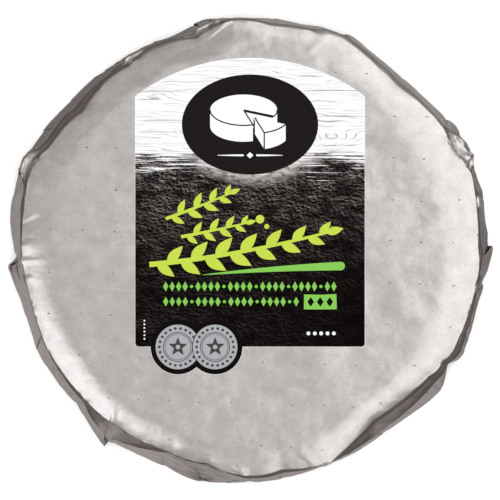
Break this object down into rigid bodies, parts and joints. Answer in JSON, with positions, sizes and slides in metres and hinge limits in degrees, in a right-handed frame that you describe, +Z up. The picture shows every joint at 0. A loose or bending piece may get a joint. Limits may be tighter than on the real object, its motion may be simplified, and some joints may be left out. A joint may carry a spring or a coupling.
{
  "type": "wrapped camembert round",
  "caption": "Low soft cheese round shut in pleated silver foil, with an arched paper label on its top face.",
  "frame": {"origin": "on the table, under the middle of the foot's outline", "axes": "+Z up through the round, +Y towards the label's arched head, +X to the right as the label is read; the foil's outline is longest along X"},
  "size_m": [0.1078, 0.1034, 0.0281],
  "materials": {
    "foil": "satin, softly creased",
    "label": "satin print on thin paper"
  },
  "bodies": {
    "root": {"wrapped_cheese": "foil", "label": "label"}
  },
  "joints": []
}
